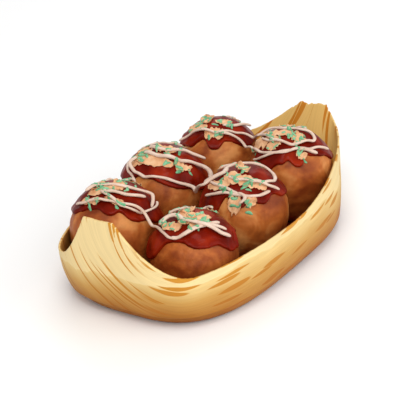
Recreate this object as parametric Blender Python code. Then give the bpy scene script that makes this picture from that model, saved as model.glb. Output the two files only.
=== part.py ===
"""Six takoyaki balls side by side in a small boat tray of thin wood veneer.

Metres, +Z up. +X runs along the boat, +Y across it, and the origin lies in the middle of
the flat underside. The tray is one thin shell. Each ball is a solid of its own.
"""
import math
from collections import namedtuple

import bmesh
import bpy
from mathutils import Vector, noise

# ---- tray ---------------------------------------------------------------------------------
TRAY_LENGTH = 0.186          # from tip to tip
RIM_HALF_WIDTH = 0.0502      # at mid length
RIGHT_RIM_HEIGHT = 0.0276    # the rim at mid length on the -Y side
LEFT_RIM_HEIGHT = 0.0230     # and on the +Y side
FLOOR_HALF_WIDTH = 0.0488
TAB_HALF_WIDTH = 0.0073      # flat top of each end's tab
TAB_ROOT_ANGLE = math.radians(87.8)   # where a tab's corners meet the floor's outline
VENEER = 0.0011
BULGE = 0.0012               # how far the walls bow out between floor and rim
EDGE_RADIUS = 0.006          # the veneer bends up from the floor over this radius
SIDE_STEPS = 17              # rim points from mid length to a shoulder
END_STEPS = 9                # rim points from a shoulder to the tab
EDGE_STEPS = 3
WALL_STEPS = 7
SOFTENING_PASSES = 4         # how much the shoulders are rounded off

# One end of the boat: how far the tab reaches along X, its height and its sideways lean, then
# how far along the shoulders lie and how far the floor reaches. Hand-bent boats are never
# quite even.
End = namedtuple("End", "sign tab_x tab_height tab_lean shoulder_x floor_x")
NEAR_END = End(sign=-1, tab_x=TRAY_LENGTH / 2, tab_height=0.0519, tab_lean=-0.0013,
               shoulder_x=0.0812, floor_x=0.0805)
FAR_END = End(sign=1, tab_x=TRAY_LENGTH / 2, tab_height=0.0425, tab_lean=-0.0064,
              shoulder_x=0.0696, floor_x=0.0665)

# One corner, by the signs of its X and Y: the shoulder's distance from the centre line and its
# height, how late the side turns in and changes height towards it, how late the rim climbs
# from there to the tab, and the floor outline's superellipse exponent.
Corner = namedtuple("Corner", "shoulder_y shoulder_height side_curve sheer_curve flank_curve "
                              "floor_squareness")
CORNERS = {
    (-1, 1): Corner(shoulder_y=0.0312, shoulder_height=0.0262, side_curve=2.47,
                    sheer_curve=2.1, flank_curve=2.3, floor_squareness=2.6),
    (-1, -1): Corner(shoulder_y=0.0368, shoulder_height=0.0262, side_curve=2.47,
                     sheer_curve=2.1, flank_curve=1.5, floor_squareness=3.3),
    (1, 1): Corner(shoulder_y=0.0355, shoulder_height=0.0236, side_curve=2.47,
                   sheer_curve=2.1, flank_curve=1.9, floor_squareness=3.3),
    (1, -1): Corner(shoulder_y=0.0325, shoulder_height=0.0340, side_curve=1.75,
                    sheer_curve=0.7, flank_curve=5.0, floor_squareness=3.3),
}

# ---- balls --------------------------------------------------------------------------------
# Centre and radius of each ball. They were turned by hand in the pan, so no two are alike.
Ball = namedtuple("Ball", "x y z radius")
BALLS = [
    Ball(-0.0493, 0.0210, 0.0246, 0.0212),
    Ball(-0.0026, 0.0251, 0.0246, 0.0214),
    Ball(0.0440, 0.0222, 0.0240, 0.0205),
    Ball(-0.0501, -0.0206, 0.0216, 0.0198),
    Ball(-0.0041, -0.0196, 0.0242, 0.0206),
    Ball(0.0420, -0.0194, 0.0265, 0.0205),
]
BALL_SEGMENTS = 28
BALL_RINGS = 14
BALL_UNEVENNESS = 0.012      # of the radius
BALL_UNEVEN_SCALE = 1.3      # lumps per radius
RESTING_GAP = 0.0004         # between a ball's underside and the veneer
FLAT_DEPTH = 0.0012          # how much of the underside is pressed flat

COLOURS = {"veneer": (0.68, 0.44, 0.17, 1.0), "dough": (0.35, 0.10, 0.025, 1.0)}


def clear_scene():
    """Remove whatever the file opened with."""
    for old in list(bpy.data.objects):
        bpy.data.objects.remove(old, do_unlink=True)


def make_material(name, roughness):
    """A plain Principled material in one of the named colours."""
    material = bpy.data.materials.new(name)
    material.use_nodes = True
    shader = material.node_tree.nodes["Principled BSDF"]
    shader.inputs["Base Color"].default_value = COLOURS[name]
    shader.inputs["Roughness"].default_value = roughness
    shader.inputs["Metallic"].default_value = 0.0
    return material


def add_object(name, mesh, material):
    """Link a mesh into the scene as one named sub-part."""
    mesh.materials.append(material)
    piece = bpy.data.objects.new(name, mesh)
    bpy.context.scene.collection.objects.link(piece)
    return piece


def rim_quarter(end, side):
    """Rim points from mid length to one corner of an end's tab; side is +1 or -1 along Y."""
    corner = CORNERS[end.sign, side]
    middle_height = LEFT_RIM_HEIGHT if side > 0 else RIGHT_RIM_HEIGHT
    points = []
    for i in range(SIDE_STEPS):
        t = i / (SIDE_STEPS - 1)
        across = RIM_HALF_WIDTH - (RIM_HALF_WIDTH - corner.shoulder_y) * t ** corner.side_curve
        rise = (corner.shoulder_height - middle_height) * t ** corner.sheer_curve
        points.append(Vector((end.sign * end.shoulder_x * t, side * across, middle_height + rise)))
    corner_y = side * TAB_HALF_WIDTH + end.tab_lean
    for i in range(1, END_STEPS + 1):
        t = i / END_STEPS
        outward = math.sin(t * math.pi / 2)
        along = end.shoulder_x + (end.tab_x - end.shoulder_x) * outward
        across = side * corner.shoulder_y * (1 - t) + corner_y * t
        climb = (end.tab_height - corner.shoulder_height) * t ** corner.flank_curve
        points.append(Vector((end.sign * along, across, corner.shoulder_height + climb)))
    return points


def floor_quarter(end, side):
    """Floor outline points, one for each rim point of the same quarter."""
    count = SIDE_STEPS + END_STEPS
    power = 2 / CORNERS[end.sign, side].floor_squareness
    points = []
    for i in range(count):
        angle = i / (count - 1) * TAB_ROOT_ANGLE
        along = end.floor_x * math.sin(angle) ** power
        across = FLOOR_HALF_WIDTH * math.cos(angle) ** power
        points.append(Vector((end.sign * along, side * across, 0.0)))
    return points


def closed_loop(quarter):
    """Join four quarters into one loop round the tray, anticlockwise seen from above."""
    far_left, far_right = quarter(FAR_END, 1), quarter(FAR_END, -1)
    near_left, near_right = quarter(NEAR_END, 1), quarter(NEAR_END, -1)
    return far_right + far_left[::-1] + near_left[1:] + near_right[:0:-1]


def soften(loop):
    """Round off the loop's bends, but leave the tabs' four corners where they are."""
    for _ in range(SOFTENING_PASSES):
        before, after = loop[-1:] + loop[:-1], loop[1:] + loop[:1]
        loop = [point if is_tab_corner(point) else point / 2 + (left + right) / 4
                for left, point, right in zip(before, loop, after)]
    return loop


def is_tab_corner(point):
    """True at the tray's extreme ends along X, which are the tabs' corners."""
    return abs(point.x) > TRAY_LENGTH / 2 - 1e-6


def outward_directions(outline):
    """The level direction straight out of a closed outline at each of its points."""
    before, after = outline[-1:] + outline[:-1], outline[1:] + outline[:1]
    along = [(right - left).normalized() for left, right in zip(before, after)]
    return [Vector((direction.y, -direction.x, 0.0)) for direction in along]


def wall_column(rim_point, floor_point, outward):
    """Points up the wall, from the floor's flat edge to the rim."""
    column = []
    for i in range(EDGE_STEPS):
        angle = i / EDGE_STEPS * math.pi / 2
        inset = EDGE_RADIUS * (1 - math.sin(angle))
        rise = EDGE_RADIUS * (1 - math.cos(angle))
        column.append(floor_point - outward * inset + Vector((0, 0, rise)))
    start = EDGE_RADIUS / rim_point.z
    for i in range(WALL_STEPS):
        up = start + (1 - start) * i / (WALL_STEPS - 1)
        bow = BULGE * math.sin(math.pi * up) * rim_point.z / LEFT_RIM_HEIGHT
        column.append(floor_point.lerp(rim_point, up) + outward * bow)
    return column


def make_tray(material):
    """The veneer boat: a hull surface round a flat floor, given its thickness inwards."""
    rim, floor = soften(closed_loop(rim_quarter)), closed_loop(floor_quarter)
    hull = bmesh.new()
    columns = [[hull.verts.new(point) for point in wall_column(top, bottom, outward)]
               for top, bottom, outward in zip(rim, floor, outward_directions(floor))]
    for left, right in zip(columns, columns[1:] + columns[:1]):
        for row in range(len(left) - 1):
            hull.faces.new((left[row], right[row], right[row + 1], left[row + 1]))
    hull.faces.new([column[0] for column in reversed(columns)])
    mesh = bpy.data.meshes.new("tray")
    hull.to_mesh(mesh)
    hull.free()
    mesh.shade_smooth()
    tray = add_object("tray", mesh, material)
    skin = tray.modifiers.new("veneer", 'SOLIDIFY')
    skin.thickness = VENEER
    skin.offset = -1
    skin.use_even_offset = True
    skin.use_quality_normals = True
    return tray


def ball_point(direction, ball, seed):
    """Where the crust lies in one direction from the ball's centre."""
    lump = noise.noise(direction * BALL_UNEVEN_SCALE + Vector((7.0 * seed, 0, 0)))
    point = direction * ball.radius * (1 + BALL_UNEVENNESS * lump)
    reach = ball.z - VENEER - RESTING_GAP
    if point.z < 0:
        point.z *= (reach + FLAT_DEPTH) / ball.radius
    point.z = max(point.z, -reach)
    return point


def make_ball(number, ball, material):
    """One ball, round above and pressed flat where it rests on the tray's floor."""
    form = bmesh.new()
    bmesh.ops.create_uvsphere(form, u_segments=BALL_SEGMENTS, v_segments=BALL_RINGS, radius=1)
    for vertex in form.verts:
        vertex.co = ball_point(vertex.co.normalized(), ball, number)
    name = f"ball_{number}"
    mesh = bpy.data.meshes.new(name)
    form.to_mesh(mesh)
    form.free()
    mesh.shade_smooth()
    piece = add_object(name, mesh, material)
    piece.location = (ball.x, ball.y, ball.z)
    return piece


def main():
    clear_scene()
    veneer = make_material("veneer", roughness=0.6)
    dough = make_material("dough", roughness=0.55)
    make_tray(veneer)
    for number, ball in enumerate(BALLS, start=1):
        make_ball(number, ball, dough)


main()
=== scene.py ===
"""Six takoyaki balls in a boat tray of thin wood veneer, with sauce, mayonnaise, shaved
bonito and green seaweed.

Metres, +Z up. +X runs along the boat. Lengths written with MM are in millimetres.
"""

import math
import random
from collections import namedtuple

import bmesh
import bpy
from mathutils import Matrix, Vector, noise
from mathutils.bvhtree import BVHTree


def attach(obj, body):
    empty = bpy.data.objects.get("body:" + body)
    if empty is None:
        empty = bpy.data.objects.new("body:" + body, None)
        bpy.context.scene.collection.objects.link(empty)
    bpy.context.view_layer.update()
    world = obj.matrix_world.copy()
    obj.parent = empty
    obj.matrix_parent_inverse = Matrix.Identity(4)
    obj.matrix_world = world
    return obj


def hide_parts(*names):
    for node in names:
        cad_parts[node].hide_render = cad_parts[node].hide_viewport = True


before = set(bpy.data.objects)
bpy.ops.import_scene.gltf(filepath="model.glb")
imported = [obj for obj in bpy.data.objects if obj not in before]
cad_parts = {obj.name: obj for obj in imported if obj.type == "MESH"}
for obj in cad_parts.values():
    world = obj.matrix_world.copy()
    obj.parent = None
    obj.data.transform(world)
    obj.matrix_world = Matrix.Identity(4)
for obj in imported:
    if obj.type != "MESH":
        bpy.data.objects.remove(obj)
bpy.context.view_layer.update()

MM = 0.001

# ---- tray: the same boat as the frame's, on a finer grid --------------------------------
TRAY_LENGTH = 0.186
RIM_HALF_WIDTH = 0.0502
RIGHT_RIM_HEIGHT = 0.0276
LEFT_RIM_HEIGHT = 0.0230
FLOOR_HALF_WIDTH = 0.0488
TAB_HALF_WIDTH = 0.0073
TAB_ROOT_ANGLE = math.radians(87.8)
BULGE = 0.0012
EDGE_RADIUS = 0.006
SIDE_STEPS = 17
END_STEPS = 9
SOFTENING_PASSES = 4
End = namedtuple("End", "sign tab_x tab_height tab_lean shoulder_x floor_x")
NEAR_END = End(-1, TRAY_LENGTH / 2, 0.0519, -0.0013, 0.0812, 0.0805)
FAR_END = End(1, TRAY_LENGTH / 2, 0.0425, -0.0064, 0.0696, 0.0665)
Corner = namedtuple("Corner", "shoulder_y shoulder_height side_curve sheer_curve flank_curve "
                              "floor_squareness")
CORNERS = {(-1, 1): Corner(0.0312, 0.0262, 2.47, 2.1, 2.3, 2.6),
           (-1, -1): Corner(0.0368, 0.0262, 2.47, 2.1, 1.5, 3.3),
           (1, 1): Corner(0.0355, 0.0236, 2.47, 2.1, 1.9, 3.3),
           (1, -1): Corner(0.0325, 0.0340, 1.75, 0.7, 5.0, 3.3)}

VENEER = 0.0009
COLUMN_SPACING = 0.0009
EDGE_ROWS = 8
WALL_ROWS = 46
FLOOR_RINGS = (0.97, 0.9, 0.78, 0.6, 0.4, 0.2)

# The grain runs along the sides and swings upright at both ends, where it turns about a
# pivot level with the tab's top. The near end's fan is lopsided: it starts this far round on
# the left side, and there it turns more quickly.
NEAR_PIVOT_REACH = 0.040     # along the outline, from the middle of the tab
NEAR_PIVOT_HEIGHT = 0.052
NEAR_FAN_SHIFT = 0.032
LEFT_SQUEEZE = 2.2
FAR_PIVOT_REACH = 0.058
FAR_PIVOT_HEIGHT = 0.046
GRAIN_SLANT = 0.06           # the grain isn't quite level along the sides
FAN_TURN = 0.035             # length of grain that one radian of turn counts for
STREAK_SIZE = 0.3            # of the cell that a streak lies in

# ---- balls ------------------------------------------------------------------------------
# The last column lightens a ball's whole crust: painted light and shade, paler on balls that
# neighbours shade, darker on the one the lamps light most.
Ball = namedtuple("Ball", "x y z radius paleness")
BALLS = [
    Ball(-0.0493, 0.0210, 0.0246, 0.0212, 0.74),
    Ball(-0.0026, 0.0251, 0.0246, 0.0214, 0.84),
    Ball(0.0440, 0.0222, 0.0240, 0.0205, 0.95),
    Ball(-0.0501, -0.0206, 0.0216, 0.0198, 0.02),
    Ball(-0.0041, -0.0196, 0.0242, 0.0206, 0.70),
    Ball(0.0420, -0.0194, 0.0265, 0.0205, 0.44),
]
RESTING_HEIGHT = 0.0015      # of a ball's underside
FLAT_DEPTH = 0.0012

# ---- sauce ------------------------------------------------------------------------------
# How far each ball's sauce reaches down from its top, in degrees, with the way it leans,
# and its drips: compass angle, extra reach and half width.
Sauce = namedtuple("Sauce", "reach lean lean_to drips")
SAUCES = [
    Sauce(61, 18, 11, [(241, 7, 13), (205, 5, 13), (289, 13, 42), (129, 11, 30), (60, 8, 16),
                       (5, 10, 22)]),
    Sauce(67, 13, 2, [(306, 18, 42), (239, 9, 30), (149, 12, 14), (125, 10, 13), (70, 12, 18),
                      (20, 6, 14)]),
    Sauce(60, 18, 18, [(260, 8, 19), (134, 14, 13), (157, 13, 12), (202, 14, 15), (90, 10, 15),
                       (30, 9, 20), (320, 8, 16)]),
    Sauce(61, 18, 55, [(141, 23, 20), (230, 15, 30), (279, 26, 23), (330, 12, 18), (20, 8, 15)]),
    Sauce(55, 9, 0, [(201, 17, 16), (141, 35, 14), (236, 11, 17), (165, 35, 12), (290, 7, 20),
                     (345, 14, 16), (60, 20, 25)]),
    Sauce(57, 15, 355, [(151, 22, 11), (171, 25, 12), (191, 18, 13), (218, 18, 13), (300, 8, 20),
                        (30, 9, 18), (85, 14, 14)]),
]
SAUCE_DEPTH = 0.0008
SAUCE_LIP = 0.0013           # the sauce is thickest just inside its edge
LIP_ANGLE = 5.0
SAUCE_COLUMNS = 300
SAUCE_ROWS = 56
POOL_DEPTH = 0.0016
POOL_NEAR, POOL_FAR, POOL_SIDE = 0.066, 0.056, 0.039    # its reach from the middle

# ---- mayonnaise: each strand's thickness, and its course seen from above in millimetres -----
STRAND_RADIUS = 0.00072
STRAND_STEP = 0.0004
STRAND_SIDES = 10
STRAND_BEND = 0.009          # the tightest curve of a strand that sags
STRANDS = [
    # first ball
    (1.0, [(-59, 30), (-55, 27), (-52, 22), (-49, 14), (-45, 9), (-42, 6), (-44, 4), (-47, 3)]),
    (1.1, [(-57, 22), (-55, 15), (-51, 10), (-46, 6)]),
    (0.9, [(-57, 23), (-59, 18), (-60, 13), (-60, 9), (-57, 5), (-51, 3), (-45, 3), (-41, 4),
           (-38, 6)]),
    # the long one, over the gap to the fourth ball
    (0.95, [(-62, 33), (-64, 27), (-62, 20), (-60, 13), (-58, 8), (-55, 2), (-58, -6),
            (-64, -15), (-66, -20), (-65, -23), (-62, -27), (-58, -29)]),
    # second ball
    (0.8, [(-12, 39), (-17, 36), (-20, 32), (-24, 27)]),
    (1.1, [(-13, 33), (-18, 34), (-20, 29), (-21, 23), (-19, 17), (-16, 11), (-12, 6), (-11, 3),
           (-15, -1), (-18, -6), (-15, -9), (-11, -13)]),
    (1.2, [(-7, 30), (-6, 22), (-3, 17), (2, 13), (6, 9), (9, 9)]),
    (1.4, [(-10, 31), (-11, 22), (-8, 14), (-3, 9), (2, 6), (3, 3), (0, 0)]),
    # third ball, and over to the last
    (1.0, [(28, 36), (30, 31), (31, 25), (33, 17), (38, 11), (43, 7), (44, 2), (39, -5),
           (34, -11), (31, -18)]),
    (1.0, [(33, 15), (35, 9), (37, 4), (33, -3), (28, -9), (26, -17), (28, -25), (34, -32),
           (41, -35), (45, -39)]),
    (1.1, [(39, 17), (43, 13), (49, 11), (54, 9)]),
    # last ball
    (1.0, [(38, -3), (42, -8), (42, -16), (44, -23), (46, -28), (43, -32), (38, -31),
           (33, -28), (31, -22), (31, -14), (34, -8)]),
    (0.9, [(25, -8), (24, -14), (26, -20), (30, -27)]),
    (1.3, [(31, -28), (33, -32), (37, -37)]),
    # fifth ball
    (1.4, [(-17, -6), (-11, -13), (-6, -12)]),
    (1.0, [(-11, -13), (-6, -12), (-1, -14), (4, -19), (6, -26), (3, -32), (-3, -34), (-9, -32),
           (-12, -28), (-14, -22), (-14, -17)]),
    (1.0, [(-15, -8), (-18, -15), (-19, -21), (-19, -27)]),
    (1.1, [(-21, -9), (-21, -15), (-20, -22), (-19, -28), (-14, -33), (-8, -36)]),
    (0.9, [(-19, -25), (-20, -29), (-22, -30), (-24, -28)]),
    (1.1, [(-13, -28), (-10, -32), (-7, -36), (-5, -39)]),
    # fourth ball
    (1.3, [(-61, -10), (-57, -13), (-56, -17), (-58, -22), (-57, -27), (-54, -35), (-49, -39)]),
    (1.2, [(-55, -29), (-52, -33), (-49, -37)]),
    (1.2, [(-66, -19), (-64, -25), (-60, -28), (-54, -30), (-48, -33)]),
]
# One more over the far side of every ball, from its centre.
FAR_STRAND = [(5, 16), (10, 12), (14, 12), (14, 6), (18, 4), (15, -1)]

# ---- bonito: centre, length, width, heading in degrees and curl of each flake --------------
Flake = namedtuple("Flake", "x y length width heading curl")
FLAKES = [
    Flake(-56, 23, 13, 5, 115, 0.5), Flake(-59, 14, 9, 3, 95, 0.8), Flake(-62, 25, 10, 4, 100, 0.4),
    Flake(-50, 18, 8, 5, 40, 0.6), Flake(-53, 27, 7, 4, 150, 0.8),
    Flake(-13, 24, 20, 6, 95, 0.4), Flake(-9, 31, 9, 5, 60, 0.7), Flake(-5, 22, 10, 5, 110, 0.8),
    Flake(-8, 11, 8, 4, 120, 0.7), Flake(-15, 32, 9, 4, 100, 0.3),
    Flake(35, 29, 12, 5, 80, 0.5), Flake(33, 18, 9, 6, 110, 0.5), Flake(41, 27, 9, 5, 30, 0.8),
    Flake(42, 18, 8, 4, 120, 0.6), Flake(38, 31, 6, 4, 95, 0.3),
    Flake(32, -8, 12, 7, 100, 0.5), Flake(37, -17, 14, 5, 105, 0.6), Flake(37, -26, 8, 6, 60, 0.8),
    Flake(30, -17, 8, 6, 160, 0.6), Flake(31, -31, 5, 4, 90, 0.6), Flake(45, -16, 8, 4, 80, 0.8),
    Flake(-17, -14, 12, 5, 100, 0.4), Flake(-13, -22, 13, 6, 95, 0.6),
    Flake(-11, -30, 10, 5, 110, 0.6), Flake(-22, -25, 6, 8, 90, 0.5), Flake(-6, -20, 9, 4, 60, 0.8),
    Flake(-18, -31, 5, 4, 120, 0.5),
    Flake(-61, -17, 9, 4, 100, 0.6), Flake(-56, -20, 9, 5, 50, 0.8), Flake(-52, -25, 10, 4, 110, 0.5),
    Flake(-57, -26, 6, 4, 20, 0.8), Flake(-50, -18, 7, 4, 140, 0.7),
]
# More on the far side of every ball, from its centre.
FAR_FLAKES = [Flake(14, 8, 9, 5, 110, 0.5), Flake(16, 1, 8, 4, 80, 0.5),
              Flake(8, 14, 8, 4, 150, 0.5)]
FLAKE_THICKNESS = 0.00012
FLAKE_STEPS = 26

# ---- green seaweed ----------------------------------------------------------------------
FLECKS_PER_FLAKE = 4
LOOSE_FLECKS = 5             # on every ball, besides those

# ---- camera -----------------------------------------------------------------------------
CAMERA_AZIMUTH = math.radians(-57.79)
CAMERA_ELEVATION = math.radians(24.52)
CAMERA_ROLL = math.radians(-1.906)
CAMERA_DISTANCE = 0.650
CAMERA_TARGET = Vector((0.0032, 0.0090, 0.0200))
LENS = 122.0


def srgb(red, green, blue):
    """A linear colour from 8-bit display values."""
    def linear(value):
        value /= 255
        return value / 12.92 if value <= 0.04045 else ((value + 0.055) / 1.055) ** 2.4
    return (linear(red), linear(green), linear(blue), 1.0)


# ---- materials --------------------------------------------------------------------------
class Nodes:
    """A new material's nodes, with short ways of adding to them."""

    def __init__(self, name):
        self.material = bpy.data.materials.new(name)
        self.material.use_nodes = True
        self.tree = self.material.node_tree
        self.shader = self.tree.nodes["Principled BSDF"]

    def set(self, **values):
        """Constants on the shader's sockets; underscores stand for spaces."""
        for name, value in values.items():
            self.shader.inputs[name.replace("_", " ")].default_value = value

    def link(self, source, target):
        self.tree.links.new(source, target)

    def place(self):
        """The object's own coordinates."""
        return self.tree.nodes.new("ShaderNodeTexCoord").outputs["Object"]

    def attribute(self, name):
        node = self.tree.nodes.new("ShaderNodeAttribute")
        node.attribute_name = name
        return node.outputs["Vector"]

    def number(self, name):
        node = self.tree.nodes.new("ShaderNodeAttribute")
        node.attribute_name = name
        return node.outputs["Fac"]

    def channel(self, colour):
        node = self.tree.nodes.new("ShaderNodeSeparateColor")
        self.link(colour, node.inputs[0])
        return node.outputs[0]

    def scaled(self, vector, *scale):
        node = self.tree.nodes.new("ShaderNodeMapping")
        node.inputs["Scale"].default_value = scale
        self.link(vector, node.inputs["Vector"])
        return node.outputs["Vector"]

    def noise(self, vector, scale, detail=2.0, roughness=0.5, distortion=0.0):
        node = self.tree.nodes.new("ShaderNodeTexNoise")
        node.inputs["Scale"].default_value = scale
        node.inputs["Detail"].default_value = detail
        node.inputs["Roughness"].default_value = roughness
        node.inputs["Distortion"].default_value = distortion
        self.link(vector, node.inputs["Vector"])
        return node.outputs["Fac"]

    def streaks(self, vector, length, width, share):
        """1 inside scattered lens shapes of about this half length and half width, drawn out
        along the vector's first axis, else 0; share is how many of their places are taken."""
        vector = self.scaled(vector, STREAK_SIZE / length, STREAK_SIZE / width, 1)
        wander = self.tree.nodes.new("ShaderNodeVectorMath")
        wander.operation = 'MULTIPLY_ADD'
        noise_node = self.tree.nodes.new("ShaderNodeTexNoise")
        noise_node.inputs["Scale"].default_value = 0.7
        self.link(vector, noise_node.inputs["Vector"])
        self.link(noise_node.outputs["Color"], wander.inputs[0])
        wander.inputs[1].default_value = (0.0, 0.9, 0.0)
        self.link(vector, wander.inputs[2])
        node = self.tree.nodes.new("ShaderNodeTexVoronoi")
        node.voronoi_dimensions, node.distance = '2D', 'MINKOWSKI'
        node.inputs["Scale"].default_value = 1.0
        node.inputs["Exponent"].default_value = 1.45
        self.link(wander.outputs[0], node.inputs["Vector"])
        own_size = self.ramp(self.channel(node.outputs["Color"]), (1 - share, 0.01),
                             (1.02 - share, 0.65), (1.0, 1.0))
        distance = self.math('DIVIDE', node.outputs["Distance"], own_size)
        return self.ramp(distance, (STREAK_SIZE, 1.0), (STREAK_SIZE * 1.2, 0.0))

    def ramp(self, value, *stops):
        """A colour ramp; each stop is a position and a colour or a grey level."""
        node = self.tree.nodes.new("ShaderNodeValToRGB")
        elements = node.color_ramp.elements
        while len(elements) < len(stops):
            elements.new(0.5)
        for element, (position, colour) in zip(elements, stops):
            element.position = position
            element.color = colour if isinstance(colour, tuple) else (colour,) * 3 + (1,)
        self.link(value, node.inputs["Fac"])
        return node.outputs["Color"]

    def mix(self, factor, first, second, blend='MIX'):
        """Two colours mixed; each of the three can be a socket or a constant."""
        node = self.tree.nodes.new("ShaderNodeMix")
        node.data_type, node.blend_type = 'RGBA', blend
        for socket, value in zip((node.inputs[0], node.inputs[6], node.inputs[7]),
                                 (factor, first, second)):
            if isinstance(value, bpy.types.NodeSocket):
                self.link(value, socket)
            else:
                socket.default_value = value
        return node.outputs[2]

    def math(self, operation, first, second):
        node = self.tree.nodes.new("ShaderNodeMath")
        node.operation = operation
        for socket, value in zip(node.inputs, (first, second)):
            if isinstance(value, bpy.types.NodeSocket):
                self.link(value, socket)
            else:
                socket.default_value = value
        return node.outputs[0]

    def axis(self, vector, name):
        node = self.tree.nodes.new("ShaderNodeSeparateXYZ")
        self.link(vector, node.inputs[0])
        return node.outputs[name]

    def bump(self, height, distance, strength=1.0):
        node = self.tree.nodes.new("ShaderNodeBump")
        node.inputs["Distance"].default_value = distance
        node.inputs["Strength"].default_value = strength
        self.link(height, node.inputs["Height"])
        self.link(node.outputs["Normal"], self.shader.inputs["Normal"])

    def colour(self, socket):
        self.link(socket, self.shader.inputs["Base Color"])
        return self.material


def veneer_material():
    """Pale wood with brown lens-shaped streaks of grain; wood and streaks darken towards the
    floor as painted shade. The inside is darker, also painted shade, and stained brown where
    sauce has touched it."""
    made = Nodes("veneer_wood")
    place, grain, inside = made.place(), made.attribute("grain"), made.number("inside")
    # painted shade: the wood gets darker towards the floor
    height = made.math('DIVIDE', made.axis(place, "Z"), 0.030)
    patches = made.noise(made.scaled(grain, 18, 90, 1), 1, 3)
    level = made.math('ADD', height, made.math('MULTIPLY', patches, 0.40))
    wood = made.ramp(level, (0.20, srgb(140, 78, 20)), (0.40, srgb(170, 110, 38)),
                     (0.70, srgb(200, 152, 78)), (0.98, srgb(226, 194, 128)),
                     (1.0, srgb(234, 208, 150)))
    fibre = made.noise(made.scaled(grain, 30, 1500, 1), 1, 4, 0.6)
    wood = made.mix(0.35, wood, made.ramp(fibre, (0.3, 0.62), (0.7, 1.0)), 'MULTIPLY')
    # lens shapes along the sides, long fine lines down the near end and bands down the far end
    ahead = made.math('ADD', made.math('DIVIDE', made.axis(place, "X"), TRAY_LENGTH), 0.5)
    aside = made.math('ADD', made.math('DIVIDE', made.axis(place, "Y"), TRAY_LENGTH), 0.5)
    near_tab = made.math('MULTIPLY', made.ramp(ahead, (0.12, 1.0), (0.20, 0.0)),
                         made.ramp(aside, (0.38, 0.0), (0.42, 1.0)))
    far_tab = made.ramp(ahead, (0.87, 0.0), (0.91, 1.0))
    streaks = made.mix(near_tab, made.streaks(grain, 0.0100, 0.0011, 0.85),
                       made.streaks(grain, 0.0145, 0.00070, 0.90))
    streaks = made.mix(far_tab, streaks, made.streaks(grain, 0.0150, 0.0015, 0.95))
    # painted shade: the brown streaks are darker towards the floor too
    brown = made.ramp(height, (0.1, srgb(158, 90, 22)), (0.9, srgb(198, 136, 44)))
    wood = made.mix(streaks, wood, brown)
    # painted shade: the inside of the tray is darker than the outside
    wood = made.mix(inside, wood, made.mix(1.0, wood, srgb(244, 222, 180), 'MULTIPLY'))
    damp = made.ramp(made.math('ADD', made.axis(place, "Z"),
                               made.math('MULTIPLY', made.noise(place, 90, 3), 0.016)),
                     (0.014, 1.0), (0.026, 0.0))
    wood = made.mix(made.math('MULTIPLY', damp, inside), wood, srgb(112, 46, 18))
    made.set(Roughness=0.6, Specular_IOR_Level=0.2)
    made.bump(fibre, 0.00012, 0.7)
    return made.colour(wood)


def dough_material():
    """Batter fried golden brown in blotches; painted light and shade make some balls paler than
    others.
    """
    made = Nodes("fried_batter")
    place = made.place()
    # painted light and shade: each ball's crust is made paler by its own amount
    blotch = made.math('ADD', made.noise(place, 70, 3, 0.55, 0.5),
                       made.math('MULTIPLY', made.number("paleness"), 0.22))
    crust = made.ramp(blotch, (0.40, srgb(118, 46, 14)), (0.54, srgb(150, 72, 26)),
                      (0.66, srgb(180, 98, 40)), (0.80, srgb(210, 138, 74)))
    fine = made.noise(place, 420, 4, 0.6)
    crust = made.mix(0.5, crust, made.ramp(fine, (0.3, 0.74), (0.65, 1.0)), 'MULTIPLY')
    made.set(Roughness=0.5, IOR=1.3)
    made.bump(made.noise(place, 900, 4, 0.6), 0.00025, 0.6)
    return made.colour(crust)


def sauce_material():
    """Thick dark brown sauce with a soft shine."""
    made = Nodes("dark_sauce")
    place = made.place()
    shade = made.noise(place, 110, 2, 0.5)
    brown = made.ramp(shade, (0.35, srgb(92, 12, 1)), (0.52, srgb(116, 20, 4)),
                      (0.70, srgb(146, 38, 12)))
    made.set(Roughness=0.3, IOR=1.12, Coat_Weight=0.10, Coat_Roughness=0.08, Coat_IOR=1.4)
    made.bump(made.noise(place, 260, 2, 0.5), 0.0003, 0.35)
    return made.colour(brown)


def mayonnaise_material():
    made = Nodes("mayonnaise")
    tint = made.noise(made.place(), 200, 2, 0.5)
    made.set(Roughness=0.38, Specular_IOR_Level=0.3)
    return made.colour(made.ramp(tint, (0.3, srgb(204, 174, 154)), (0.7, srgb(220, 196, 178))))


def bonito_material():
    """Shaved dried fish: pale pink buff with a darker grain."""
    made = Nodes("bonito_shavings")
    place = made.place()
    tint = made.noise(place, 260, 3, 0.6)
    made.set(Roughness=0.5, Specular_IOR_Level=0.2)
    return made.colour(made.ramp(tint, (0.3, srgb(206, 148, 104)), (0.5, srgb(222, 170, 126)),
                                 (0.7, srgb(232, 190, 148))))


def seaweed_material():
    made = Nodes("green_seaweed")
    tint = made.noise(made.place(), 300, 2, 0.5)
    made.set(Roughness=0.6, Specular_IOR_Level=0.3)
    return made.colour(made.ramp(tint, (0.3, srgb(88, 158, 112)), (0.7, srgb(138, 196, 152))))


# ---- meshes -----------------------------------------------------------------------------
def add_piece(name, vertices, faces, material, stands_for=None):
    """A smooth mesh that belongs to the object."""
    mesh = bpy.data.meshes.new(name)
    mesh.from_pydata(vertices, [], faces)
    mesh.update()
    mesh.shade_smooth()
    mesh.materials.append(material)
    piece = bpy.data.objects.new(name, mesh)
    bpy.context.scene.collection.objects.link(piece)
    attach(piece, "root")
    if stands_for:
        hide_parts(stands_for)
    return piece


def grid_faces(first, rows, columns, flip=False):
    """Quads of a grid whose columns join up round a loop; rows lie one after another."""
    faces = []
    for row in range(rows - 1):
        for column in range(columns):
            right = (column + 1) % columns
            low, high = first + row * columns, first + (row + 1) * columns
            quad = (low + column, low + right, high + right, high + column)
            faces.append(quad[::-1] if flip else quad)
    return faces


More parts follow.
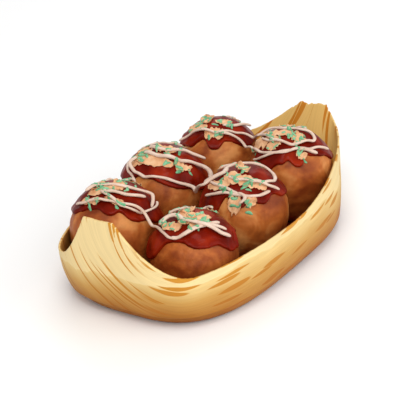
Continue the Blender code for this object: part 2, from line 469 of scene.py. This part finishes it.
def spline(points, steps):
    """A Catmull-Rom curve through open control points, with the given steps in each span."""
    curve = []
    for i in range(len(points) - 1):
        before = points[i - 1] if i else points[0] * 2 - points[1]
        after = points[i + 2] if i + 2 < len(points) else points[-1] * 2 - points[-2]
        count = steps[i] if isinstance(steps, list) else steps
        for k in range(count):
            t = k / count
            curve.append((points[i] * 2 + (points[i + 1] - before) * t
                          + (before * 2 - points[i] * 5 + points[i + 1] * 4 - after) * t * t
                          + (points[i] * 3 - before - points[i + 1] * 3 + after) * t ** 3) / 2)
    return curve + [points[-1].copy()]


# ---- tray -------------------------------------------------------------------------------
def rim_quarter(end, side):
    corner = CORNERS[end.sign, side]
    middle_height = LEFT_RIM_HEIGHT if side > 0 else RIGHT_RIM_HEIGHT
    points = []
    for i in range(SIDE_STEPS):
        t = i / (SIDE_STEPS - 1)
        across = RIM_HALF_WIDTH - (RIM_HALF_WIDTH - corner.shoulder_y) * t ** corner.side_curve
        rise = (corner.shoulder_height - middle_height) * t ** corner.sheer_curve
        points.append(Vector((end.sign * end.shoulder_x * t, side * across, middle_height + rise)))
    corner_y = side * TAB_HALF_WIDTH + end.tab_lean
    for i in range(1, END_STEPS + 1):
        t = i / END_STEPS
        outward = math.sin(t * math.pi / 2)
        along = end.shoulder_x + (end.tab_x - end.shoulder_x) * outward
        across = side * corner.shoulder_y * (1 - t) + corner_y * t
        climb = (end.tab_height - corner.shoulder_height) * t ** corner.flank_curve
        points.append(Vector((end.sign * along, across, corner.shoulder_height + climb)))
    return points


def floor_quarter(end, side):
    count = SIDE_STEPS + END_STEPS
    power = 2 / CORNERS[end.sign, side].floor_squareness
    points = []
    for i in range(count):
        angle = i / (count - 1) * TAB_ROOT_ANGLE
        along = end.floor_x * math.sin(angle) ** power
        across = FLOOR_HALF_WIDTH * math.cos(angle) ** power
        points.append(Vector((end.sign * along, side * across, 0.0)))
    return points


def half_loop(quarter, side):
    """From the near tab's corner along one side to the far tab's corner."""
    near, far = quarter(NEAR_END, side), quarter(FAR_END, side)
    return near[:0:-1] + far


def soften(line):
    """Round off an open line's bends and leave its ends where they are."""
    for _ in range(SOFTENING_PASSES):
        line = line[:1] + [b / 2 + (a + c) / 4 for a, b, c in zip(line, line[1:], line[2:])] \
            + line[-1:]
    return line


def outline():
    """Rim points and floor points all round the tray, anticlockwise from the near tab's
    middle."""
    rim, floor = [], []
    for side in (-1, 1):
        rim_side = soften(half_loop(rim_quarter, side))
        floor_side = half_loop(floor_quarter, side)
        steps = [max(1, math.ceil((b - a).length / COLUMN_SPACING))
                 for a, b in zip(rim_side, rim_side[1:])]
        rim_side, floor_side = spline(rim_side, steps), spline(floor_side, steps)
        if side > 0:
            rim_side.reverse()
            floor_side.reverse()
        tab = round(2 * TAB_HALF_WIDTH / COLUMN_SPACING)
        start = (rim[-1], floor[-1]) if rim else None
        if start:
            rim += [start[0].lerp(rim_side[0], k / tab) for k in range(1, tab)]
            floor += [start[1].lerp(floor_side[0], k / tab) for k in range(1, tab)]
        rim += rim_side
        floor += floor_side
    tab = round(2 * TAB_HALF_WIDTH / COLUMN_SPACING)
    rim += [rim[-1].lerp(rim[0], k / tab) for k in range(1, tab)]
    floor += [floor[-1].lerp(floor[0], k / tab) for k in range(1, tab)]
    return rim, floor


def rotated(items, count):
    return items[count:] + items[:count]


def outward_directions(line, reach):
    """Level directions straight out of a closed line, averaged over a few points."""
    along = [(b - a).normalized()
             for a, b in zip(rotated(line, -reach), rotated(line, reach))]
    return [Vector((d.y, -d.x, 0.0)) for d in along]


def ragged(rim_point):
    """How much of the veneer's edge has splintered off at a rim point."""
    jag = noise.noise(rim_point * 240) * 0.6 + noise.noise(rim_point * 800) * 0.4
    if rim_point.x > TRAY_LENGTH / 2 - 0.001:
        return max(0.0, jag + 0.15) * 0.0024
    if rim_point.x < 0.001 - TRAY_LENGTH / 2:
        return max(0.0, jag + 0.1) * 0.0009
    return max(0.0, jag) * 0.0005


def wall_column(rim_point, floor_point, outward):
    """Points up the wall, from the floor's flat edge to the rim."""
    column = []
    for i in range(EDGE_ROWS):
        angle = i / EDGE_ROWS * math.pi / 2
        inset = EDGE_RADIUS * (1 - math.sin(angle))
        rise = EDGE_RADIUS * (1 - math.cos(angle))
        column.append(floor_point - outward * inset + Vector((0, 0, rise)))
    start = EDGE_RADIUS / rim_point.z
    top = 1 - ragged(rim_point) / rim_point.z
    for i in range(WALL_ROWS):
        up = start + (top - start) * i / (WALL_ROWS - 1)
        bow = BULGE * math.sin(math.pi * up) * rim_point.z / LEFT_RIM_HEIGHT
        column.append(floor_point.lerp(rim_point, up) + outward * bow)
    return column


def grain_at(along, side_length, height, squeeze):
    """Position along the grain and across it, for a point at this distance along one side's
    outline from where the near end's fan starts."""
    near_reach = NEAR_PIVOT_REACH + NEAR_FAN_SHIFT
    fan_end = near_reach / squeeze
    if along < fan_end:
        beside, above = near_reach - along * squeeze, NEAR_PIVOT_HEIGHT - height
        return (-math.atan2(beside, above) * FAN_TURN,
                math.hypot(beside, above) - NEAR_PIVOT_HEIGHT)
    beside = along - (side_length - FAR_PIVOT_REACH)
    if beside > 0:
        above = FAR_PIVOT_HEIGHT - height
        straight = side_length - FAR_PIVOT_REACH - fan_end
        return (straight + math.atan2(beside, above) * FAN_TURN,
                math.hypot(beside, above) - FAR_PIVOT_HEIGHT)
    return along - fan_end, -height


def make_tray(material):
    rim, floor = outline()
    count = len(rim)
    columns = [wall_column(top, bottom, outward)
               for top, bottom, outward in zip(rim, floor, outward_directions(floor, 3))]
    rows = EDGE_ROWS + WALL_ROWS
    # distance along the outline, measured half way up
    middle = [column[rows // 2] for column in columns]
    distance = [0.0]
    for a, b in zip(middle, middle[1:] + middle[:1]):
        distance.append(distance[-1] + (b - a).length)
    whole = distance.pop()
    tab_middle = next(i for i in range(count) if rim[i].y > FAR_END.tab_lean
                      and rim[i].x > TRAY_LENGTH / 2 - 1e-6)
    right_length = distance[tab_middle] + TAB_HALF_WIDTH + NEAR_FAN_SHIFT
    grains = []
    for column, s in zip(columns, distance):
        s = (s + TAB_HALF_WIDTH + NEAR_FAN_SHIFT) % whole
        if s < right_length:
            place, length, side, squeeze = s, right_length, 1, 1.0
        else:
            place, length, side, squeeze = whole - s, whole - right_length, -1, LEFT_SQUEEZE
        slant = side * place
        grains.append([])
        for point in column:
            u, v = grain_at(place, length, point.z, squeeze)
            grains[-1].append((u, v + slant * GRAIN_SLANT, slant / 0.045))
    # outer skin, inner skin, and the floor's rings inside both
    grid = [[columns[c][r] for c in range(count)] for r in range(rows)]
    vertices, grain = [], []
    for r in range(rows):
        for c in range(count):
            vertices.append(grid[r][c])
            grain.append(grains[c][r])
    normals = []
    for r in range(rows):
        for c in range(count):
            up = grid[min(r + 1, rows - 1)][c] - grid[max(r - 1, 0)][c]
            across = grid[r][(c + 1) % count] - grid[r][c - 1]
            normals.append(across.cross(up).normalized())
    for c in range(count):
        normals[c] = Vector((0, 0, -1))
    ridged = []
    for vertex, normal, (u, v, w) in zip(vertices, normals, grain):
        ridge = noise.noise(Vector((u * 35, v * 420, w)))
        keep = min(1.0, max(0.0, vertex.z / 0.004))
        ridged.append((vertex + normal * (ridge * 0.00010 * keep),
                       vertex - normal * (VENEER - ridge * 0.00010 * keep)))
    outer, inner = [p for p, _ in ridged], [p for _, p in ridged]
    size = rows * count
    points = outer + inner
    marks = grain + grain
    insides = [0.0] * size + [1.0] * size
    faces = grid_faces(0, rows, count) + grid_faces(size, rows, count, flip=True)
    top = (rows - 1) * count
    for c in range(count):
        right = (c + 1) % count
        faces.append((top + c, top + right, size + top + right, size + top + c))
    for base, flip in ((0, True), (size, False)):
        ring = list(range(base, base + count))
        for scale in FLOOR_RINGS:
            start = len(points)
            for i in range(base, base + count):
                x, y, z = points[i]
                points.append(Vector((x * scale, y * scale, z)))
                marks.append((x * scale, y * scale - 0.06, 9.0))
                insides.append(0.0 if flip else 1.0)
            for c in range(count):
                right = (c + 1) % count
                quad = (ring[c], start + c, start + right, ring[right])
                faces.append(quad if not flip else quad[::-1])
            ring = list(range(start, start + count))
        centre = len(points)
        points.append(Vector((0, 0, points[base].z)))
        marks.append((0, -0.06, 9.0))
        insides.append(0.0 if flip else 1.0)
        for c in range(count):
            tri = (ring[c], centre, ring[(c + 1) % count])
            faces.append(tri if not flip else tri[::-1])
    tray = add_piece("boat_tray", points, faces, material, "tray")
    layer = tray.data.attributes.new("grain", 'FLOAT_VECTOR', 'POINT')
    layer.data.foreach_set("vector", [value for mark in marks for value in mark])
    layer = tray.data.attributes.new("inside", 'FLOAT', 'POINT')
    layer.data.foreach_set("value", insides)
    return tray


# ---- balls and sauce --------------------------------------------------------------------
def crust_point(direction, ball, number, outward=0.0):
    """A point of a ball's crust, or one that far outside it."""
    lump = 0.012 * noise.noise(direction * 1.3 + Vector((7.0 * number, 0, 0)))
    shift = Vector((0, 3.0 * number, 0))
    dent = 0.010 * noise.noise(direction * 3.4 + shift)
    dent += 0.007 * noise.noise(direction * 8.0 - shift)
    pit = min(0.0, noise.noise(direction * 17 + shift) + 0.25) * 0.012
    point = direction * (ball.radius * (1 + lump + dent + pit * (outward == 0)) + outward)
    reach = ball.z - RESTING_HEIGHT
    if point.z < 0:
        point.z *= (reach + FLAT_DEPTH) / ball.radius
    point.z = max(point.z, -reach)
    return point + Vector((ball.x, ball.y, ball.z))


def make_ball(number, ball, material):
    form = bmesh.new()
    bmesh.ops.create_icosphere(form, subdivisions=6, radius=1)
    vertices = [crust_point(v.co.normalized(), ball, number) for v in form.verts]
    faces = [[v.index for v in face.verts] for face in form.faces]
    form.free()
    piece = add_piece(f"takoyaki_{number}", vertices, faces, material,
                      f"ball_{number}")
    # painted light and shade, the same over the whole ball
    layer = piece.data.attributes.new("paleness", 'FLOAT', 'POINT')
    layer.data.foreach_set("value", [ball.paleness] * len(vertices))
    return piece


def sauce_reach(sauce, number, compass):
    """How far down the sauce comes at a compass angle, in degrees from the top."""
    reach = sauce.reach + sauce.lean * math.cos(math.radians(compass - sauce.lean_to))
    for at, extra, half_width in sauce.drips:
        off = (compass - at + 180) % 360 - 180
        reach += extra * math.exp(-abs(off / half_width) ** 3)
    around = Vector((math.cos(math.radians(compass)), math.sin(math.radians(compass)), number))
    return reach + 1.5 * noise.noise(around * 4) + 0.7 * noise.noise(around * 11)


def make_sauce(number, ball, sauce, material):
    """A cap of sauce poured over a ball, thickest along its lower edge."""
    count, rows = SAUCE_COLUMNS, SAUCE_ROWS
    vertices, faces = [], []
    for r in range(1, rows + 1):
        for c in range(count):
            compass = 360 * c / count
            edge = sauce_reach(sauce, number, compass)
            # rows crowd towards the edge, where the lip is round
            polar = edge * math.sin(r / rows * math.pi / 2)
            inside = edge - polar
            round_off = math.sqrt(max(0.0, 1 - max(0.0, 1 - inside / 2.2) ** 2))
            lip = (SAUCE_LIP - SAUCE_DEPTH) * math.exp(-((inside - 3) / LIP_ANGLE) ** 2)
            a, p = math.radians(compass), math.radians(polar)
            direction = Vector((math.sin(p) * math.cos(a), math.sin(p) * math.sin(a), math.cos(p)))
            flow = 1 + 0.35 * noise.noise(direction * 4 + Vector((number, 0, 0)))
            depth = (SAUCE_DEPTH * flow + lip) * round_off
            vertices.append(crust_point(direction, ball, number, depth))
    faces = grid_faces(0, rows, count, flip=True)
    up = Vector((0, 0, 1))
    vertices.append(crust_point(up, ball, number, SAUCE_DEPTH))
    apex = len(vertices) - 1
    faces += [(apex, c, (c + 1) % count) for c in range(count)]
    # the hidden underside, inside the crust
    last = (rows - 1) * count
    start = len(vertices)
    centre = Vector((ball.x, ball.y, ball.z))
    for c in range(count):
        vertices.append(centre + (vertices[last + c] - centre) * 0.95)
    under = len(vertices)
    vertices.append(centre)
    for c in range(count):
        right = (c + 1) % count
        faces.append((last + c, start + c, start + right, last + right))
        faces.append((start + c, under, start + right))
    return add_piece(f"sauce_{number}", vertices, faces, material)


def make_pool(material):
    """Sauce that has run down and lies in the tray between the balls."""
    count, rings = 160, 14
    vertices = []
    for top in (True, False):
        for r in range(1, rings + 1):
            for c in range(count):
                a = 2 * math.pi * c / count
                share = r / rings
                wave = 1 + 0.05 * noise.noise(Vector((math.cos(a), math.sin(a), 5)) * 3)
                along, across = math.cos(a), math.sin(a)
                half = POOL_FAR if along > 0 else POOL_NEAR
                x = half * wave * share * abs(along) ** 0.68 * math.copysign(1, along)
                y = POOL_SIDE * wave * share * abs(across) ** 0.68 * math.copysign(1, across)
                depth = POOL_DEPTH * math.sqrt(max(0.0, 1 - share ** 8))
                ripple = 0.0004 * noise.noise(Vector((x, y, 0)) * 120)
                z = VENEER + (depth * (1 + ripple) + ripple if top and r < rings else -0.0002)
                vertices.append(Vector((x, y, z)))
    size = rings * count
    faces = grid_faces(0, rings, count, flip=False) + grid_faces(size, rings, count, flip=True)
    faces = [face[::-1] for face in faces]
    outer = (rings - 1) * count
    for c in range(count):
        right = (c + 1) % count
        faces.append((outer + c, size + outer + c, size + outer + right, outer + right))
    for base, flip in ((0, False), (size, True)):
        centre = len(vertices)
        vertices.append(Vector((0, 0, VENEER + (POOL_DEPTH if not flip else -0.0002))))
        for c in range(count):
            tri = (centre, base + c, base + (c + 1) % count)
            faces.append(tri[::-1] if flip else tri)
    return add_piece("sauce_pool", vertices, faces, material)


# ---- what lies on top -------------------------------------------------------------------
class Surface:
    """The outside of some pieces, felt from above or from round a ball."""

    def __init__(self, pieces):
        self.trees = [BVHTree.FromPolygons([v.co for v in p.data.vertices],
                                           [f.vertices for f in p.data.polygons])
                      for p in pieces]

    def height(self, x, y, clearance):
        """Height of a point that far outside what lies under x and y."""
        best = 0.002
        for tree in self.trees:
            spot, normal, _, _ = tree.ray_cast(Vector((x, y, 0.2)), Vector((0, 0, -1)))
            if spot is not None:
                best = max(best, spot.z + clearance / max(normal.z, 0.35))
        return best

    def distance(self, ball, direction):
        """How far from a ball's centre its outermost covering lies in one direction."""
        centre = Vector((ball.x, ball.y, ball.z))
        start, best = centre + direction * (ball.radius + 0.007), ball.radius
        for tree in self.trees:
            spot = tree.ray_cast(start, -direction, 0.012)[0]
            if spot is not None:
                best = max(best, (spot - centre).length)
        return best


class Spot:
    """A place on a ball's crown, from its position seen from above, and directions there."""

    def __init__(self, x, y, heading):
        self.ball = min(BALLS, key=lambda b: (b.x - x) ** 2 + (b.y - y) ** 2)
        reach = self.ball.radius + 0.001
        dx, dy = x - self.ball.x, y - self.ball.y
        self.out = Vector((dx, dy, math.sqrt(max(reach ** 2 * 0.03, reach ** 2 - dx * dx - dy * dy))))
        self.out.normalize()
        level = Vector((math.cos(heading), math.sin(heading), 0))
        self.along = (level - self.out * level.dot(self.out)).normalized()
        self.aside = self.out.cross(self.along)

    def direction(self, u, v):
        """The direction from the ball's centre that lies u along and v aside of here."""
        away = math.hypot(u, v)
        if away < 1e-9:
            return self.out.copy()
        angle = away / self.ball.radius
        return (self.out * math.cos(angle)
                + (self.along * u + self.aside * v) * (math.sin(angle) / away)).normalized()

    def point(self, direction, distance):
        return Vector((self.ball.x, self.ball.y, self.ball.z)) + direction * distance


def draped(line, surface):
    """Heights for a strand laid along a level line: it rests on what is under it and sags
    into gaps no more sharply than it can bend."""
    spots = [surface.height(p.x, p.y, STRAND_RADIUS * 0.45) for p in line]
    span = round(0.014 / STRAND_STEP)
    heights = []
    for i in range(len(line)):
        low, high = max(0, i - span), min(len(line), i + span + 1)
        heights.append(max(spots[j] - ((i - j) * STRAND_STEP) ** 2 / (2 * STRAND_BEND)
                           for j in range(low, high)))
    for _ in range(8):
        heights = heights[:1] + [(a + b * 2 + c) / 4 for a, b, c
                                 in zip(heights, heights[1:], heights[2:])] + heights[-1:]
    return heights


def evenly(line, step):
    """The same line with points an even step apart."""
    result, left = [line[0].copy()], step
    for a, b in zip(line, line[1:]):
        length = (b - a).length
        while length >= left and length > 0:
            a = a.lerp(b, left / length)
            result.append(a.copy())
            length, left = (b - a).length, step
        left -= length
    return result


def add_strand(vertices, faces, thickness, plan, surface, number):
    controls = [Vector((x * MM, y * MM, 0)) for x, y in plan]
    line = evenly(spline(controls, 24), STRAND_STEP)
    path = [Vector((p.x, p.y, h)) for p, h in zip(line, draped(line, surface))]
    count = len(path)
    first = len(vertices)
    for i, point in enumerate(path):
        along = (path[min(i + 1, count - 1)] - path[max(i - 1, 0)]).normalized()
        side = along.cross(Vector((0, 0, 1)))
        side = side.normalized() if side.length > 1e-6 else Vector((1, 0, 0))
        over = side.cross(along)
        end = min(i, count - 1 - i) * STRAND_STEP / (STRAND_RADIUS * 2.2)
        taper = math.sqrt(max(0.0, 1 - max(0.0, 1 - end) ** 2)) if end < 1 else 1.0
        swell = 1 + 0.28 * noise.noise(Vector((i * STRAND_STEP * 180, number * 5.3, 0)))
        radius = STRAND_RADIUS * thickness * swell * max(taper, 0.05)
        for k in range(STRAND_SIDES):
            a = 2 * math.pi * k / STRAND_SIDES
            vertices.append(point + side * (math.cos(a) * radius * 1.15)
                            + over * (math.sin(a) * radius * 0.85))
    for i in range(count - 1):
        for k in range(STRAND_SIDES):
            a, b = first + i * STRAND_SIDES, first + (i + 1) * STRAND_SIDES
            right = (k + 1) % STRAND_SIDES
            faces.append((a + k, b + k, b + right, a + right))
    faces.append(tuple(first + k for k in range(STRAND_SIDES)))
    faces.append(tuple(first + (count - 1) * STRAND_SIDES + k
                       for k in reversed(range(STRAND_SIDES))))


def make_mayonnaise(surface, material):
    vertices, faces = [], []
    far = [(0.9, [(ball.x / MM + x, ball.y / MM + y) for x, y in FAR_STRAND]) for ball in BALLS]
    for number, (thickness, plan) in enumerate(STRANDS + far):
        add_strand(vertices, faces, thickness, plan, surface, number)
    return add_piece("mayonnaise", vertices, faces, material)


def add_flake(vertices, faces, flake, surface, rng):
    """One thin shaving: a lobed strip that follows what is under it and curls up at its
    edges."""
    spot = Spot(flake.x * MM, flake.y * MM, math.radians(flake.heading))
    seed = Vector((rng.uniform(0, 50), rng.uniform(0, 50), 0))
    rows, cols = FLAKE_STEPS, 10
    width = cols + 1
    directions, rest, lifts = [], [], []
    for i in range(rows + 1):
        t = i / rows * 2 - 1
        lobes = 1 + 0.5 * noise.noise(seed + Vector((t * 3.6, 0, 0)))
        half = flake.width / 2 * MM * lobes * (1 - abs(t) ** 3.5) ** 0.5
        bend = 0.9 * MM * noise.noise(seed + Vector((t * 1.6, 9, 0)))
        for j in range(width):
            s = j / cols * 2 - 1
            edge = 1 + 0.30 * noise.noise(seed + Vector((t * 6, s * 1.5, 4)))
            direction = spot.direction(t * flake.length / 2 * MM, s * half * edge + bend)
            curl = flake.curl * 0.0016 * (s * s * 0.6 + t * t * 0.7) \
                * (0.3 + abs(noise.noise(seed + Vector((t * 2, s, 7)))) * 2)
            wave = 0.0003 * noise.noise(seed + Vector((t * 5, s * 3, 2)))
            directions.append(direction)
            rest.append(surface.distance(spot.ball, direction))
            lifts.append(0.0003 + curl + wave)
    # even out the drape, so that the shaving stays stiff
    heights = rest[:]
    for _ in range(8):
        smooth = []
        for i in range(rows + 1):
            for j in range(width):
                near = [heights[a * width + b]
                        for a, b in ((i - 1, j), (i + 1, j), (i, j - 1), (i, j + 1))
                        if 0 <= a <= rows and 0 <= b < width]
                k = i * width + j
                smooth.append(max(heights[k] * 0.2 + sum(near) / len(near) * 0.8, rest[k]))
        heights = smooth
    add_sheet(vertices, faces, rows, width, FLAKE_THICKNESS,
              [spot.point(d, h + lift) for d, h, lift in zip(directions, heights, lifts)],
              directions)


def add_sheet(vertices, faces, rows, width, thickness, top, outward):
    """A thin closed sheet from a grid of points on its outside."""
    first, size = len(vertices), len(top)
    vertices.extend(top)
    vertices.extend(point - out * thickness for point, out in zip(top, outward))
    for i in range(rows):
        for j in range(width - 1):
            a = first + i * width + j
            faces.append((a, a + width, a + width + 1, a + 1))
            b = a + size
            faces.append((b, b + 1, b + width + 1, b + width))
    rim = list(range(width)) + [i * width + width - 1 for i in range(1, rows + 1)] \
        + [rows * width + j for j in reversed(range(width - 1))] \
        + [i * width for i in reversed(range(1, rows))]
    for here, after in zip(rim, rim[1:] + rim[:1]):
        faces.append((first + here, first + after, first + size + after, first + size + here))


def all_flakes():
    return FLAKES + [flake._replace(x=ball.x / MM + flake.x, y=ball.y / MM + flake.y)
                     for ball in BALLS for flake in FAR_FLAKES]


def make_bonito(surface, material):
    rng = random.Random(3)
    vertices, faces = [], []
    for flake in all_flakes():
        add_flake(vertices, faces, flake, surface, rng)
    return add_piece("bonito", vertices, faces, material)


def add_fleck(vertices, faces, x, y, surface, rng):
    """One dried fleck of seaweed: a small bent sliver."""
    spot = Spot(x, y, rng.uniform(0, math.pi))
    length, width = rng.uniform(1.8, 4.2) * MM, rng.uniform(1.0, 1.8) * MM
    bow = rng.uniform(-0.5, 0.5) * MM
    steps = 6
    top, outward = [], []
    for i in range(steps + 1):
        t = i / steps * 2 - 1
        half = width / 2 * math.sqrt(max(0.06, 1 - t * t)) * rng.uniform(0.75, 1.15)
        for s in (-1, 0, 1):
            direction = spot.direction(t * length / 2, s * half + bow * t * t)
            lift = 0.0003 if s == 0 else 0.0002
            outward.append(direction)
            top.append(spot.point(direction, surface.distance(spot.ball, direction) + lift))
    add_sheet(vertices, faces, steps, 3, 0.0002, top, outward)


def make_seaweed(surface, material):
    rng = random.Random(8)
    vertices, faces = [], []
    for flake in all_flakes():
        heading = math.radians(flake.heading)
        for _ in range(FLECKS_PER_FLAKE):
            t = rng.uniform(-0.5, 0.5) * flake.length
            s = max(-0.6, min(0.6, rng.gauss(0, 0.35))) * flake.width
            x = flake.x + math.cos(heading) * t - math.sin(heading) * s
            y = flake.y + math.sin(heading) * t + math.cos(heading) * s
            add_fleck(vertices, faces, x * MM, y * MM, surface, rng)
    for ball in BALLS:
        for _ in range(LOOSE_FLECKS):
            x = ball.x + rng.uniform(-0.009, 0.009)
            y = ball.y + rng.uniform(-0.010, 0.010)
            add_fleck(vertices, faces, x, y, surface, rng)
    return add_piece("seaweed", vertices, faces, material)


# ---- studio -----------------------------------------------------------------------------
def add_camera():
    azimuth, elevation = CAMERA_AZIMUTH, CAMERA_ELEVATION
    back = Vector((math.sin(azimuth) * math.cos(elevation),
                   -math.cos(azimuth) * math.cos(elevation), math.sin(elevation)))
    right = Vector((math.cos(azimuth), math.sin(azimuth), 0))
    up = back.cross(right)
    c, s = math.cos(CAMERA_ROLL), math.sin(CAMERA_ROLL)
    axes = (right * c + up * s, up * c - right * s, back)
    camera = bpy.data.objects.new("camera", bpy.data.cameras.new("camera"))
    camera.data.lens = LENS
    camera.data.sensor_width = 36
    camera.data.clip_start = 0.01
    camera.matrix_world = Matrix.Translation(CAMERA_TARGET + back * CAMERA_DISTANCE) \
        @ Matrix(axes).transposed().to_4x4()
    bpy.context.scene.collection.objects.link(camera)
    bpy.context.scene.camera = camera
    return axes


def add_light(name, place, size, power, colour=(1, 1, 1)):
    """A soft square light aimed at the middle of the tray."""
    light = bpy.data.lights.new(name, 'AREA')
    light.shape, light.size, light.energy, light.color = 'SQUARE', size, power, colour
    lamp = bpy.data.objects.new(name, light)
    lamp.location = place
    lamp.rotation_euler = (Vector((0, 0, 0.02)) - place).to_track_quat('-Z', 'Y').to_euler()
    bpy.context.scene.collection.objects.link(lamp)


def add_studio():
    axes = add_camera()
    right, _, back = axes
    level_back = Vector((back.x, back.y, 0)).normalized()
    up = Vector((0, 0, 1))
    add_light("key", -right * 0.1 + level_back * 0.45 + up * 0.8, 0.5, 2.9, (1, 0.99, 0.97))
    add_light("front", right * 0.1 + level_back * 0.9 + up * 0.5, 0.7, 3.9)
    add_light("fill", right * 0.8 + level_back * 0.3 + up * 0.45, 0.8, 3.1)
    add_light("back", -level_back * 0.6 + up * 0.6, 0.6, 2.2)
    world = bpy.data.worlds.new("studio")
    world.use_nodes = True
    world.node_tree.nodes["Background"].inputs["Color"].default_value = (1, 1, 1, 1)
    world.node_tree.nodes["Background"].inputs["Strength"].default_value = 0.50
    bpy.context.scene.world = world
    floor_mesh = bpy.data.meshes.new("floor")
    half = 3.0
    floor_mesh.from_pydata([(-half, -half, 0), (half, -half, 0), (half, half, 0),
                            (-half, half, 0)], [], [(0, 1, 2, 3)])
    floor = bpy.data.objects.new("floor", floor_mesh)
    floor.location.z = -0.0002
    made = Nodes("pale_floor")
    made.set(Base_Color=(0.9, 0.9, 0.9, 1), Roughness=0.9, Specular_IOR_Level=0.1)
    floor_mesh.materials.append(made.material)
    bpy.context.scene.collection.objects.link(floor)
    bpy.context.scene.view_settings.view_transform = 'Standard'


# ---- everything -------------------------------------------------------------------------
wood, dough, brown = veneer_material(), dough_material(), sauce_material()
tray = make_tray(wood)
balls = [make_ball(n, ball, dough) for n, ball in enumerate(BALLS, start=1)]
sauces = [make_sauce(n, ball, sauce, brown)
          for n, (ball, sauce) in enumerate(zip(BALLS, SAUCES), start=1)]
pool = make_pool(brown)
under = [tray, pool] + balls + sauces
bonito = make_bonito(Surface(under), bonito_material())
mayonnaise = make_mayonnaise(Surface(under + [bonito]), mayonnaise_material())
seaweed = make_seaweed(Surface(under + [bonito, mayonnaise]), seaweed_material())
add_studio()
